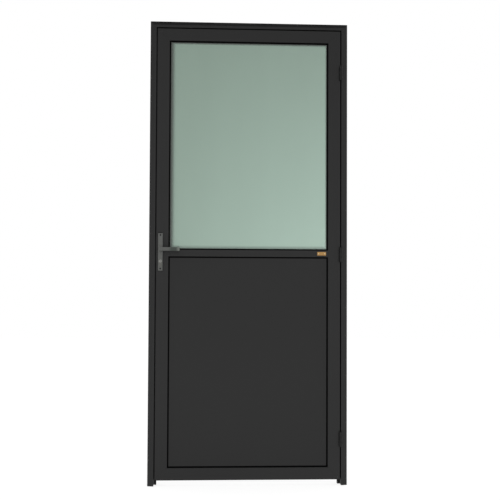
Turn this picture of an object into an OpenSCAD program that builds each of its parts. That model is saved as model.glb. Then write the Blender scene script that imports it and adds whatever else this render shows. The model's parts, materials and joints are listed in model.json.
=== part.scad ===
// Single-leaf door in its own frame: glass above, solid panel below, lever handle on the left.
// Millimetres. X to the right, Y away from the viewer, Z up; Y = 0 is the middle of the leaf.

/* [Frame] */
// Overall width over both jambs
frame_w = 900; // [780:5:1050]
// Overall height from the floor to the top of the head
frame_h = 2100; // [2000:5:2300]
// Depth of the frame profile from front to back
frame_depth = 60; // [56:0.5:80]
// Width of the frame face seen from the front
frame_face = 27.5; // [26:0.5:34]
// Width of the outer band of that face
band_w = 15.5; // [10:0.5:18]
// Set-back of the outer band where it meets the inner band
band_set = 2; // [1:0.25:3]
// Further fall of the outer band towards the wall
band_fall = 3.5; // [0.5:0.25:4]
// Wall thickness of the frame profile
frame_wall = 1.6; // [1.4:0.1:2]
// Reach of the door stop past the rebate
stop_reach = 11.5; // [11:0.25:15]
// Radius on the long edges of the profiles
edge_r = 0.7; // [0.3:0.1:1]
// Open width of a mitre or butt seam
seam = 0.2; // [0.1:0.05:0.3]

/* [Stop seal] */
// Room between the back of the leaf and the stop
seal_room = 4; // [3.5:0.25:6]
// Distance of the seal slot from the edge of the leaf
seal_inset = 1.2; // [1:0.1:1.5]
// Width of the seal slot
seal_slot_w = 3; // [2.5:0.1:3.2]
// Depth of the seal slot
seal_slot_d = 3.5; // [3:0.1:4]
// Width by which the bulb is wider than its slot, each side
seal_over = 0.8; // [0.4:0.1:1]

/* [Wall fixings] */
// Diameter of the holes for the wall screws
fixing_d = 8; // [6:0.5:10]
// Distance of the end holes from the floor and from the top of the frame
fixing_first = 330; // [300:5:360]
// Place of the holes behind the middle of the leaf
fixing_y = 6; // [2:0.5:9]

/* [Leaf] */
// Gap between leaf and frame at the sides and at the top
leaf_gap = 5; // [5:0.25:6]
// Gap under the leaf
floor_gap = 26; // [10:1:36]
// Thickness of the leaf
leaf_t = 36; // [35:0.5:42]
// Width of the hollow tube of stiles and rails
tube_w = 40; // [39.5:0.5:48]
// Reach of the glazing leg past the tube
leg_w = 15; // [13:0.5:20]
// Wall thickness of the leaf profiles
leaf_wall = 1.8; // [1.5:0.1:2]
// Depth of the lips that hold the front gasket
lip_depth = 5; // [4.5:0.25:6]
// Thickness of the lip at the sight edge
lip_t = 1.6; // [1.2:0.1:2]
// Width of the gasket slot between the lips
gasket_slot_w = 4.2; // [3.6:0.1:4.4]
// Height of the middle rail above the floor, to its centre
mid_z = 1045.5; // [1035:0.5:1052]
// Height of the tube of the middle rail
mid_tube_h = 12; // [11:0.5:16]
// Reach of the glazing legs of the middle rail
mid_leg_w = 9; // [8.5:0.25:12]

/* [Glazing] */
// Thickness of the glass and of the lower panel
pane_t = 6; // [4:0.5:8]
// Thickness of the front gasket between lip and pane
gasket_front_t = 4; // [3:0.25:5]
// Width of the front gasket seen beside the frame
gasket_sight = 6.3; // [4:0.1:8]
// Height left at the thin edge of the front gasket
gasket_edge_t = 1.2; // [0.8:0.1:1.6]
// Thickness of the rear gasket
gasket_back_t = 3; // [2:0.25:4]
// Width of the rear gasket seen beside the beads
gasket_back_sight = 2.5; // [1.5:0.1:4]
// Room between the edge of a pane and the tube beside it
edge_gap = 3.5; // [3:0.1:4]
// Wall thickness of the glazing beads
bead_wall = 1.3; // [1:0.1:1.6]
// Chamfer on the sight edge of the beads
bead_chamfer = 3; // [1:0.25:4]
// Length of a setting block
block_len = 80; // [50:5:100]
// Distance of the setting blocks from the side edge of a pane
block_inset = 110; // [80:5:160]

/* [Hinges] */
// Outer diameter of the knuckle
knuckle_d = 15; // [13:0.5:16]
// Height of the three knuckle parts together
knuckle_h = 64; // [56:1:80]
// Half height of the knuckle part on the leaf
leaf_knuckle_half = 11; // [10:0.5:14]
// Diameter of the hinge pin
pin_d = 7; // [6:0.25:7.5]
// Thickness of the cap at each end of the pin
pin_cap_t = 2.2; // [1.5:0.1:3]
// Thickness of the hinge leaves
wing_t = 2; // [1.5:0.1:2.2]
// Depth of the hinge leaves behind the front face
wing_depth = 30; // [26:0.5:33]
// Room between the knuckle and the front faces
knuckle_room = 0.8; // [0.6:0.1:1.5]
// Height of the middle hinge above the floor
hinge_mid_z = 1042; // [1000:1:1060]
// Distance of the top hinge from the top of the leaf
hinge_top_in = 193; // [150:1:220]
// Distance of the bottom hinge from the bottom of the leaf
hinge_low_in = 181; // [150:1:220]
// Distance of the hinge screws from the middle of the hinge
hinge_screw_z = 20; // [18:0.5:22]
// Thickness of the flange of a hinge bush
bush_flange_t = 1.2; // [0.8:0.1:1.6]
// Wall of the hinge bush
bush_wall = 1.2; // [0.8:0.1:1.4]

/* [Handle] */
// Height of the lever axis above the floor
lever_z = 1062; // [1058:0.5:1066]
// Distance of the lever axis from the edge of the leaf
backset = 19; // [18.5:0.25:20]
// Width of the handle plate
plate_w = 22; // [20:0.5:24]
// Height of the handle plate
plate_h = 171; // [168:0.5:180]
// Thickness of the handle plate
plate_t = 8; // [6:0.5:10]
// Distance of the lower end of the plate below the key cylinder
plate_under = 19; // [17:0.5:22]
// Radius on the edges of the plate
plate_r = 3; // [1:0.25:3.5]
// Distance of the plate screws from the ends of the plate
plate_screw_in = 10; // [9:0.25:10]
// Length of the lever from its axis to its tip
lever_len = 88; // [80:1:120]
// Height of the lever
lever_h = 16; // [14:0.5:17]
// Thickness of the lever arm
lever_t = 11; // [9:0.5:13]
// Thickness of the lever neck
neck_w = 14; // [12.5:0.5:16]
// Room for the fingers between plate and lever arm
finger_room = 30; // [26:0.5:40]
// Diameter of the collar that turns in the plate
collar_d = 17; // [16:0.5:18]
// Side of the square spindle
spindle_w = 8; // [7:0.5:8]

/* [Lock] */
// Distance of the key cylinder below the lever axis
cylinder_drop = 53.5; // [53:0.25:54]
// Diameter of the round part of the cylinder
cylinder_d = 17; // [16:0.25:17.5]
// Diameter of the plug
plug_d = 13; // [12:0.25:13.5]
// Width of the lower part of the cylinder
cylinder_bib_w = 10; // [9:0.25:10.5]
// Overall height of the cylinder
cylinder_h = 33; // [31:0.25:33]
// Distance by which the cylinder stands proud of the plates
cylinder_proud = 3; // [1:0.25:4]
// Reach of the cam from the cylinder axis
cam_reach = 15; // [13:0.25:15]
// Width of the cam
cam_w = 9.4; // [8:0.2:10]
// Depth of the lock case
case_t = 14; // [13.5:0.25:16]
// Wall of the lock case
case_wall = 1.5; // [1.2:0.1:1.6]
// Thickness of the forend
forend_t = 2; // [1.5:0.1:2.2]
// Width of the forend
forend_w = 22; // [20:0.5:24]
// Length of the forend past each end of the case
forend_over = 22; // [20:0.5:28]
// Distance of the latch above the lever axis
latch_rise = 24; // [23.5:0.25:25]
// Height of the latch bolt
latch_h = 18; // [16:0.5:18]
// Thickness of the latch bolt
latch_t = 10; // [8:0.25:10.5]
// Distance of the dead bolt below the lever axis
bolt_drop = 27; // [26.5:0.25:27.5]
// Height of the dead bolt
bolt_h = 20; // [18:0.5:20]
// Thickness of the dead bolt
bolt_t = 8; // [7:0.25:9]
// Thickness of the strike plate
strike_t = 1.5; // [1:0.1:1.6]
// Room round a bolt in the strike
strike_room = 2.5; // [2:0.25:3]

/* [Fits] */
// Radial room of a running fit
run_fit = 0.05; // [0.02:0.01:0.1]
// Room round a piece that slides or is placed in a pocket
slide_fit = 0.35; // [0.3:0.05:0.5]
// Room round a piece that is fixed in place
set_fit = 0.1; // [0.05:0.05:0.15]
// Diameter of the screws
screw_d = 4; // [3.5:0.1:4.2]

/* [Hidden] */
$fn = 48;
edge_steps = 4;
cut_reach = 2.5 * frame_depth;
fixing_count = 4;
over = 1;

front_y = -leaf_t / 2;
leaf_back = leaf_t / 2;
back_y = front_y + frame_depth;
stop_y = leaf_back + seal_room;
band_y = front_y + band_set;
frame_x = frame_w / 2;
fixing_pitch = (frame_h - 2 * fixing_first) / (fixing_count - 1);
rebate_x = frame_x - frame_face;
leaf_x = rebate_x - leaf_gap;
leaf_top = frame_h - frame_face - leaf_gap;
leaf_low = floor_gap;
leaf_h = leaf_top - leaf_low;
seal_u = frame_face + leaf_gap + seal_inset;
seal_floor = stop_y + seal_slot_d + frame_wall;

sight_u = tube_w + leg_w;
sight_x = leaf_x - sight_u;
tube_x = leaf_x - tube_w;
lip_y = front_y + lip_depth;
pane_y = lip_y + gasket_front_t;
pane_back = pane_y + pane_t;
bead_y = pane_back + gasket_back_t;
bead_d = leaf_back - bead_y;
mid_half = mid_tube_h / 2;
mid_sight = mid_half + mid_leg_w;
glass_low = mid_z + mid_sight;
glass_top = leaf_top - sight_u;
panel_low = leaf_low + sight_u;
panel_top = mid_z - mid_sight;
pane_x = tube_x - edge_gap;

knuckle_r = knuckle_d / 2;
knuckle_half = knuckle_h / 2;
pin_r = pin_d / 2;
bush_r = pin_r + run_fit + bush_wall;
axis_x = leaf_x + leaf_gap / 2;
axis_y = front_y - knuckle_r - knuckle_room;
neck_y = knuckle_r + knuckle_room;
wing_y = neck_y + wing_depth;
frame_knuckle_z = leaf_knuckle_half + bush_flange_t + slide_fit;
hinge_top_z = leaf_top - hinge_top_in;
hinge_low_z = leaf_low + hinge_low_in;
hinge_screw_y = neck_y + wing_depth / 2;
screw_r = screw_d / 2;
screw_head_r = screw_d * 0.95;
screw_head_h = screw_head_r - screw_r;

lock_x = -leaf_x + backset;
plate_y = front_y - plate_t;
neck_start = plate_t + slide_fit;
arm_in = plate_t + finger_room;
arm_out = arm_in + lever_t;
collar_r = collar_d / 2;
bend_r = neck_w / 2 + lever_t / 2;
bend_in_r = lever_t / 2;

key_z = lever_z - cylinder_drop;
cylinder_r = cylinder_d / 2;
bib_low = key_z + cylinder_r - cylinder_h;
plate_low = bib_low - plate_under;
plate_top = plate_low + plate_h;
plug_r = plug_d / 2;
key_y = leaf_back + plate_t + cylinder_proud;
cam_half = cam_w / 2;
cam_room = cam_half + slide_fit;
cam_hub_r = plug_r + 1.5;
case_back_x = -leaf_x + tube_w - leaf_wall - over;
case_low = bib_low - case_wall - over;
latch_z = lever_z + latch_rise;
case_top = latch_z + latch_h / 2 + case_wall + 2 * over;
case_half = case_t / 2;
hub_r = 10;
hub_journal_r = hub_r - 1.5;
hub_half = case_half - case_wall - slide_fit;
bolt_z = lever_z - bolt_drop;
bolt_face_x = -leaf_x - forend_t + slide_fit;
bolt_back_x = case_back_x - case_wall - over;
forend_x = -leaf_x - forend_t;
strike_x = -rebate_x + strike_t;
latch_slope = latch_t;
latch_head = 17;
latch_tail_h = latch_h / 2;
keyway_w = 1.6;
keyway_h = plug_r * 1.3;
keyway_d = 14;
spindle_half = leaf_back + arm_in - over;
cylinder_screw_z = bib_low + cylinder_bib_w / 2;
forend_screw_z = forend_over / 2;
strike_over = 16;
strike_low = bolt_z - bolt_h / 2 - strike_room - strike_over;
strike_top = latch_z + latch_h / 2 + strike_room + strike_over;
strike_screw_in = strike_over / 2;

frame_cleat_len = 70;
frame_cleat_t = 20;
leaf_cleat_len = 75;
leaf_cleat_t = 14;
mid_cleat_len = 40;

dark = [0.16, 0.16, 0.16];
grey = [0.45, 0.45, 0.44];
steel = [0.7, 0.7, 0.7];
rubber = [0.05, 0.05, 0.05];
green = [0.55, 0.7, 0.6, 0.6];
white = [0.85, 0.85, 0.82];
brass = [0.75, 0.6, 0.3];

// Points of an arc of radius r that rounds the corner p between a and b
function unit(v) = v / norm(v);
function corner_arc(a, p, b, r) =
    let (u = unit(a - p), w = unit(b - p), half = acos(u * w) / 2)
    let (c = p + unit(u + w) * r / sin(half))
    let (s = p + u * r / tan(half) - c, e = p + w * r / tan(half) - c)
    let (start = atan2(s[1], s[0]), d = atan2(e[1], e[0]) - start)
    let (turn = d > 180 ? d - 360 : d < -180 ? d + 360 : d)
    [for (i = [0:edge_steps]) c + r * [cos(start + turn * i / edge_steps), sin(start + turn * i / edge_steps)]];

// An outline with its corners rounded, one radius for each corner, 0 for a sharp one
function rounded(points, radii) =
    let (n = len(points))
    [for (i = [0:n - 1])
        each radii[i] <= 0 ? [points[i]]
            : corner_arc(points[(i + n - 1) % n], points[i], points[(i + 1) % n], radii[i])];

// Everything beyond a plane through a point, the plane turned about Y
module beyond(at, angle)
    translate(at)
        rotate([0, angle, 0])
            translate([-cut_reach, -cut_reach, -seam / 2])
                cube([2 * cut_reach, 2 * cut_reach, cut_reach]);

// Countersunk screw along Z, its head flush at Z = 0 and its tip at -length
module screw(length, room = 0) {
    difference() {
        union() {
            translate([0, 0, -screw_head_h])
                cylinder(r1 = screw_r + room, r2 = screw_head_r + room, h = screw_head_h);
            translate([0, 0, -length])
                cylinder(r = screw_r + room, h = length - screw_head_h / 2);
        }
        if (room == 0)
            translate([0, 0, -screw_head_h])
                cylinder(d = screw_r * 1.5, h = screw_head_h + over, $fn = 6);
    }
}

// Frame profile: u from the wall towards the opening, then Y
function frame_outline() = rounded([
    [0, band_y + band_fall], [band_w, band_y], [band_w, front_y], [frame_face, front_y],
    [frame_face, stop_y], [frame_face + stop_reach, stop_y],
    [frame_face + stop_reach, back_y], [0, back_y]],
    [edge_r, 0, edge_r, edge_r, 0, edge_r, edge_r, edge_r]);

function frame_front_room() = [
    [frame_wall, band_y + band_fall + frame_wall],
    [band_w + frame_wall, band_y + band_fall + frame_wall],
    [band_w + frame_wall, front_y + frame_wall],
    [frame_face - frame_wall, front_y + frame_wall],
    [frame_face - frame_wall, stop_y - frame_wall],
    [frame_wall, stop_y - frame_wall]];

function frame_back_room() = [
    [frame_wall, stop_y],
    [frame_face - frame_wall, stop_y],
    [frame_face - frame_wall, seal_floor],
    [frame_face + stop_reach - frame_wall, seal_floor],
    [frame_face + stop_reach - frame_wall, back_y - frame_wall],
    [frame_wall, back_y - frame_wall]];

module frame_section() {
    difference() {
        polygon(frame_outline());
        polygon(frame_front_room());
        polygon(frame_back_room());
        translate([seal_u, stop_y - over])
            square([seal_slot_w, seal_slot_d + over]);
    }
}

// Left jamb with its wall fixing holes; the right one is its mirror image
module jamb_blank() {
    difference() {
        translate([-frame_x, 0, 0])
            linear_extrude(height = frame_h)
                frame_section();
        beyond([-frame_x, 0, frame_h], 45);
        for (i = [0:fixing_count - 1])
            translate([-frame_x - over, fixing_y, fixing_first + i * fixing_pitch])
                rotate([0, 90, 0])
                    cylinder(d = fixing_d, h = frame_face + 2 * over);
    }
}

// Pocket for a bolt of height h and thickness t, through plate and jamb wall
module strike_pocket(z, h, t)
    translate([-rebate_x - frame_wall - over, -t / 2 - strike_room, z - h / 2 - strike_room])
        cube([frame_wall + strike_t + 2 * over, t + 2 * strike_room, h + 2 * strike_room]);

module strike_pockets() {
    strike_pocket(latch_z, latch_h, latch_t);
    strike_pocket(bolt_z, bolt_h, bolt_t);
}

module strike_screw_set(room) {
    for (z = [strike_low + strike_screw_in, strike_top - strike_screw_in])
        translate([strike_x, 0, z])
            rotate([0, 90, 0])
                screw(strike_t + 12, room);
}

module jamb_lock() color(dark) {
    difference() {
        jamb_blank();
        strike_pockets();
        strike_screw_set(set_fit);
    }
}

module jamb_hinge() color(dark) {
    difference() {
        mirror([1, 0, 0])
            jamb_blank();
        hinge_screw_set(1, set_fit);
    }
}

module head() color(dark) {
    difference() {
        translate([-frame_x, 0, frame_h])
            rotate([0, 90, 0])
                linear_extrude(height = frame_w)
                    frame_section();
        beyond([-frame_x, 0, frame_h], 225);
        beyond([frame_x, 0, frame_h], 135);
    }
}

// Angle in the rear hollow of jamb and head, cut from an extruded bar
module frame_cleat() {
    translate([-frame_x + frame_wall + set_fit, back_y - frame_wall - set_fit, frame_h - frame_wall - set_fit])
        rotate([90, 0, 0])
            linear_extrude(height = back_y - frame_wall - seal_floor - 2 * set_fit)
                polygon([[0, 0], [frame_cleat_len, 0], [frame_cleat_len, -frame_cleat_t],
                    [frame_cleat_t, -frame_cleat_t], [frame_cleat_t, -frame_cleat_len], [0, -frame_cleat_len]]);
}

module frame_cleats() color(steel) {
    frame_cleat();
    mirror([1, 0, 0])
        frame_cleat();
}

// Bulb seal: foot in the slot of the stop, bulb just short of the leaf
module seal_section() {
    translate([seal_u + set_fit, stop_y - over])
        square([seal_slot_w - 2 * set_fit, seal_slot_d + over - set_fit]);
    polygon(rounded([
        [seal_u - seal_over, stop_y], [seal_u - seal_over, leaf_back + slide_fit],
        [seal_u + seal_slot_w + seal_over, leaf_back + slide_fit], [seal_u + seal_slot_w + seal_over, stop_y]],
        [0, seal_room / 4, seal_room / 4, 0]));
}

module seal_upright()
    translate([-frame_x, 0, 0])
        linear_extrude(height = frame_h - seal_u - seal_slot_w - seal_over - set_fit)
            seal_section();

module seal_lock() color(rubber) seal_upright();

module seal_hinge() color(rubber)
    mirror([1, 0, 0])
        seal_upright();

module seal_head() color(rubber)
    translate([-frame_x + seal_u + set_fit, 0, frame_h])
        rotate([0, 90, 0])
            linear_extrude(height = frame_w - 2 * seal_u - 2 * set_fit)
                seal_section();

module strike_plate() color(steel) {
    difference() {
        translate([-rebate_x, -forend_w / 2, strike_low])
            cube([strike_t, forend_w, strike_top - strike_low]);
        strike_pockets();
        strike_screw_set(set_fit);
    }
}

module strike_screws() color(steel) strike_screw_set(0);

// Leaf profile: u from the edge of the leaf inwards, then Y; the leg carries the gasket slot
function leaf_outline() = rounded([
    [0, front_y], [sight_u, front_y], [sight_u, lip_y], [sight_u - lip_t, lip_y],
    [sight_u - lip_t, front_y + leaf_wall], [sight_u - lip_t - gasket_slot_w, front_y + leaf_wall],
    [sight_u - lip_t - gasket_slot_w, lip_y], [sight_u - 2 * lip_t - gasket_slot_w, lip_y],
    [sight_u - 2 * lip_t - gasket_slot_w, front_y + leaf_wall], [tube_w, front_y + leaf_wall],
    [tube_w, leaf_back], [0, leaf_back]],
    [edge_r, edge_r, 0, 0, 0, 0, 0, 0, 0, 0, 0, edge_r]);

module leaf_section() {
    difference() {
        polygon(leaf_outline());
        translate([leaf_wall, front_y + leaf_wall])
            square([tube_w - 2 * leaf_wall, leaf_t - 2 * leaf_wall]);
    }
}

// One half of the middle rail: w up from its centre line
function mid_half_outline() = [
    [mid_sight, front_y], [mid_sight, lip_y], [mid_sight - lip_t, lip_y],
    [mid_sight - lip_t, front_y + leaf_wall], [mid_sight - lip_t - gasket_slot_w, front_y + leaf_wall],
    [mid_sight - lip_t - gasket_slot_w, lip_y], [mid_half + set_fit, lip_y],
    [mid_half + set_fit, front_y + leaf_wall], [mid_half, front_y + leaf_wall],
    [mid_half, leaf_back]];

// The whole middle rail: one half, then its mirror image back to the start
function mid_outline() =
    let (half = mid_half_outline(), last = len(half) - 1)
    concat(half, [for (i = [0:last]) [-half[last - i][0], half[last - i][1]]]);

module mid_section() {
    difference() {
        polygon(mid_outline());
        translate([-mid_half + leaf_wall, front_y + leaf_wall])
            square([mid_tube_h - 2 * leaf_wall, leaf_t - 2 * leaf_wall]);
    }
}

module stile_blank() {
    difference() {
        translate([-leaf_x, 0, leaf_low])
            linear_extrude(height = leaf_h)
                leaf_section();
        beyond([-leaf_x, 0, leaf_top], 45);
        beyond([-leaf_x, 0, leaf_low], 135);
    }
}

// Outline of the cylinder in X and Z about its axis, grown by some room
module cylinder_outline(room) {
    circle(r = cylinder_r + room);
    translate([-cylinder_bib_w / 2 - room, cylinder_r - cylinder_h + cylinder_bib_w / 2])
        square([cylinder_bib_w + 2 * room, cylinder_h - cylinder_r - cylinder_bib_w / 2]);
    translate([0, cylinder_r - cylinder_h + cylinder_bib_w / 2])
        circle(r = cylinder_bib_w / 2 + room);
}

// A cylinder-shaped bar along Y between two depths
module cylinder_bar(y0, y1, room)
    translate([lock_x, y1, key_z])
        rotate([90, 0, 0])
            linear_extrude(height = y1 - y0)
                cylinder_outline(room);

// A round bar along Y through the leaf
module leaf_bar(x, z, y0, y1, r)
    translate([x, y1, z])
        rotate([90, 0, 0])
            cylinder(r = r, h = y1 - y0);

module plate_screw_set(room) {
    for (z = [plate_low + plate_screw_in, plate_top - plate_screw_in])
        translate([lock_x, plate_y, z])
            rotate([90, 0, 0])
                screw(leaf_t + plate_t + plate_t / 2, room);
}

module forend_screw_set(room) {
    for (z = [case_low - forend_screw_z, case_top + forend_screw_z])
        translate([forend_x, 0, z])
            rotate([0, -90, 0])
                screw(forend_t + 12, room);
}

module cylinder_screw(room)
    translate([forend_x, 0, cylinder_screw_z])
        rotate([0, -90, 0])
            screw(forend_t + backset - over, room);

module stile_lock() color(dark) {
    difference() {
        stile_blank();
        translate([-leaf_x - over, -case_half - set_fit, case_low - set_fit])
            cube([leaf_wall + 2 * over, case_t + 2 * set_fit, case_top - case_low + 2 * set_fit]);
        leaf_bar(lock_x, lever_z, front_y - over, leaf_back + over, collar_r);
        cylinder_bar(front_y - over, leaf_back + over, slide_fit);
        plate_screw_set(set_fit);
        forend_screw_set(set_fit);
    }
}

module stile_hinge() color(dark) {
    difference() {
        mirror([1, 0, 0])
            stile_blank();
        hinge_screw_set(-1, set_fit);
    }
}

module rail_top() color(dark) {
    difference() {
        translate([-leaf_x, 0, leaf_top])
            rotate([0, 90, 0])
                linear_extrude(height = 2 * leaf_x)
                    leaf_section();
        beyond([-leaf_x, 0, leaf_top], 225);
        beyond([leaf_x, 0, leaf_top], 135);
    }
}

module rail_bottom() color(dark) {
    difference() {
        translate([leaf_x, 0, leaf_low])
            rotate([0, -90, 0])
                linear_extrude(height = 2 * leaf_x)
                    leaf_section();
        beyond([-leaf_x, 0, leaf_low], -45);
        beyond([leaf_x, 0, leaf_low], 45);
    }
}

// The middle rail runs between the tubes of the stiles and is notched round their legs
module rail_mid() color(dark) {
    difference() {
        translate([-tube_x + seam / 2, 0, mid_z])
            rotate([0, 90, 0])
                linear_extrude(height = 2 * tube_x - seam)
                    mid_section();
        for (side = [-1, 1])
            translate([side * (sight_x - seam / 2 + cut_reach / 2), front_y - over, mid_z])
                translate([-cut_reach / 2, 0, -cut_reach / 2])
                    cube([cut_reach, lip_depth + over + seam / 2, cut_reach]);
    }
}

// Corner angle in the hollow of stile and rail
module leaf_cleat()
    translate([-leaf_x + leaf_wall + set_fit, leaf_back - leaf_wall - set_fit, leaf_low + leaf_wall + set_fit])
        rotate([90, 0, 0])
            linear_extrude(height = leaf_t - 2 * leaf_wall - 2 * set_fit)
                polygon([[0, 0], [leaf_cleat_len, 0], [leaf_cleat_len, leaf_cleat_t],
                    [leaf_cleat_t, leaf_cleat_t], [leaf_cleat_t, leaf_cleat_len], [0, leaf_cleat_len]]);

// Bar in the end of the middle rail, behind the lips of the stile
module mid_cleat()
    translate([-tube_x, lip_y + slide_fit, mid_z - mid_half + leaf_wall + set_fit])
        cube([mid_cleat_len, leaf_back - leaf_wall - set_fit - lip_y - slide_fit,
            mid_tube_h - 2 * leaf_wall - 2 * set_fit]);

module leaf_cleats() color(steel) {
    for (side = [0, 1])
        mirror([side, 0, 0]) {
            leaf_cleat();
            mid_cleat();
            translate([0, 0, leaf_low + leaf_top])
                mirror([0, 0, 1])
                    leaf_cleat();
        }
}

module pane(z0, z1)
    translate([-pane_x, pane_y, z0])
        cube([2 * pane_x, pane_t, z1 - z0]);

module glass_pane() color(green)
    pane(mid_z + mid_half + edge_gap, leaf_top - tube_w - edge_gap);

module lower_panel() color(dark)
    pane(leaf_low + tube_w + edge_gap, mid_z - mid_half - edge_gap);

// Four strips of some section along the sides of the sight opening, mitred at the corners;
// the section's first axis runs from the sight edge into the opening
module sight_ring(z0, z1, out) {
    h = z1 - z0;
    w = 2 * sight_x;
    for (side = [0, 1])
        mirror([side, 0, 0])
            intersection() {
                translate([-sight_x, 0, z0 - out])
                    linear_extrude(height = h + 2 * out)
                        children();
                translate([-sight_x, leaf_t, z0])
                    rotate([90, 0, 0])
                        linear_extrude(height = 2 * leaf_t)
                            polygon([[-out, seam / 2 - out], [out, out + seam / 2],
                                [out, h - out - seam / 2], [-out, h + out - seam / 2]]);
            }
    for (end = [0, 1])
        translate([0, 0, end * (z0 + z1)])
            mirror([0, 0, end])
                intersection() {
                    translate([sight_x + out, 0, z0])
                        rotate([0, -90, 0])
                            linear_extrude(height = w + 2 * out)
                                children();
                    translate([-sight_x, leaf_t, z0])
                        rotate([90, 0, 0])
                            linear_extrude(height = 2 * leaf_t)
                                polygon([[seam / 2 - out, -out], [w + out - seam / 2, -out],
                                    [w - out - seam / 2, out], [out + seam / 2, out]]);
                }
}

module gasket_front_section()
    polygon([[-lip_t - gasket_slot_w, lip_y], [0, lip_y], [gasket_sight, pane_y - gasket_edge_t],
        [gasket_sight, pane_y], [-lip_t - gasket_slot_w, pane_y]]);

module gasket_back_section()
    polygon([[-2 * gasket_back_t, pane_back], [gasket_back_sight, pane_back],
        [gasket_back_sight, pane_back + gasket_back_t / 2], [0, bead_y], [-2 * gasket_back_t, bead_y]]);

// Feet of the front gasket in the slots, short of the corners
module gasket_feet(z0, z1) {
    foot = gasket_slot_w - 2 * set_fit;
    deep = lip_depth - leaf_wall - set_fit;
    short = 2 * sight_u / 3;
    for (side = [0, 1])
        mirror([side, 0, 0])
            translate([-sight_x - lip_t - gasket_slot_w + set_fit, lip_y - deep, z0 + short])
                cube([foot, deep + set_fit, z1 - z0 - 2 * short]);
    for (end = [0, 1])
        translate([0, 0, end * (z0 + z1)])
            mirror([0, 0, end])
                translate([-sight_x + short, lip_y - deep, z0 - lip_t - gasket_slot_w + set_fit])
                    cube([2 * (sight_x - short), deep + set_fit, foot]);
}

module glass_gasket_front() color(rubber) {
    sight_ring(glass_low, glass_top, 2 * sight_u / 3)
        gasket_front_section();
    gasket_feet(glass_low, glass_top);
}

module panel_gasket_front() color(rubber) {
    sight_ring(panel_low, panel_top, 2 * sight_u / 3)
        gasket_front_section();
    gasket_feet(panel_low, panel_top);
}

module glass_gasket_back() color(rubber)
    sight_ring(glass_low, glass_top, 2 * sight_u / 3)
        gasket_back_section();

module panel_gasket_back() color(rubber)
    sight_ring(panel_low, panel_top, 2 * sight_u / 3)
        gasket_back_section();

// Hollow glazing bead of some width, its sight edge on the first axis at 0
module bead_section(w) {
    difference() {
        polygon([[-w, bead_y], [0, bead_y], [0, leaf_back - bead_chamfer], [-bead_chamfer, leaf_back], [-w, leaf_back]]);
        polygon([[-w + bead_wall, bead_y + bead_wall], [-bead_wall, bead_y + bead_wall],
            [-bead_wall, leaf_back - bead_chamfer - bead_wall / 2],
            [-bead_chamfer - bead_wall / 2, leaf_back - bead_wall], [-w + bead_wall, leaf_back - bead_wall]]);
    }
}

// A lying bead between the stile tubes; up is 1 when it stands on a rail, -1 when it hangs under one
module bead_lying(z, w, up)
    translate([0, 0, z])
        mirror([0, 0, up > 0 ? 0 : 1])
            translate([tube_x - seam / 2, 0, 0])
                rotate([0, -90, 0])
                    linear_extrude(height = 2 * tube_x - seam)
                        bead_section(w);

module bead_upright(z0, z1)
    translate([-sight_x, 0, z0 + seam / 2])
        linear_extrude(height = z1 - z0 - seam)
            bead_section(leg_w - set_fit);

module glass_bead_top() color(dark) bead_lying(glass_top, leg_w - set_fit, -1);
module glass_bead_low() color(dark) bead_lying(glass_low, mid_leg_w - set_fit, 1);
module glass_bead_lock() color(dark) bead_upright(glass_low, glass_top);
module glass_bead_hinge() color(dark)
    mirror([1, 0, 0])
        bead_upright(glass_low, glass_top);
module panel_bead_top() color(dark) bead_lying(panel_top, mid_leg_w - set_fit, -1);
module panel_bead_low() color(dark) bead_lying(panel_low, leg_w - set_fit, 1);
module panel_bead_lock() color(dark) bead_upright(panel_low, panel_top);
module panel_bead_hinge() color(dark)
    mirror([1, 0, 0])
        bead_upright(panel_low, panel_top);

module setting_blocks() color(white) {
    for (side = [0, 1])
        mirror([side, 0, 0])
            for (z = [mid_z + mid_half, leaf_low + tube_w])
                translate([-pane_x + block_inset, pane_y + set_fit, z])
                    cube([block_len, pane_t - 2 * set_fit, edge_gap]);
}

// Lock case: open towards the forend, with bearings for the hub and a hole for the cylinder
module lock_case() color(steel) {
    difference() {
        translate([-leaf_x, -case_half, case_low])
            cube([case_back_x + leaf_x, case_t, case_top - case_low]);
        translate([-leaf_x - over, -case_half + case_wall, case_low + case_wall])
            cube([case_back_x + leaf_x - case_wall + over, case_t - 2 * case_wall, case_top - case_low - 2 * case_wall]);
        leaf_bar(lock_x, lever_z, -case_t, case_t, hub_journal_r + run_fit);
        cylinder_bar(-case_t, case_t, slide_fit);
        plate_screw_set(slide_fit);
    }
}

// Opening in the forend for a bolt
module forend_slot(z, h, t)
    translate([forend_x - over, -t / 2 - slide_fit, z - h / 2 - slide_fit])
        cube([forend_t + 2 * over, t + 2 * slide_fit, h + 2 * slide_fit]);

module forend() color(steel) {
    difference() {
        translate([forend_x, -forend_w / 2, case_low - forend_over])
            cube([forend_t, forend_w, case_top - case_low + 2 * forend_over]);
        forend_slot(latch_z, latch_h, latch_t);
        forend_slot(bolt_z, bolt_h, bolt_t);
        forend_screw_set(set_fit);
        cylinder_screw(set_fit);
    }
}

module lock_screws() color(steel) {
    forend_screw_set(0);
    cylinder_screw(0);
}

module cylinder_body() color(brass) {
    difference() {
        cylinder_bar(-key_y, key_y, 0);
        leaf_bar(lock_x, key_z, -key_y - over, key_y + over, plug_r + run_fit);
        leaf_bar(lock_x, key_z, -cam_room, cam_room, cam_reach + slide_fit);
        cylinder_screw(set_fit);
    }
}

// Plug along Y from its face to its inner end, with a keyway in the face
module plug(face, inner) {
    side = face < inner ? -1 : 1;
    difference() {
        leaf_bar(lock_x, key_z, min(face, inner), max(face, inner), plug_r);
        translate([lock_x - keyway_w / 2, side > 0 ? face - keyway_d : face - over, key_z - keyway_h / 2])
            cube([keyway_w, keyway_d + over, keyway_h]);
    }
}

module plug_front() color(brass) plug(-key_y, -cam_half);
module plug_back() color(brass) plug(key_y, cam_room);

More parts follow.
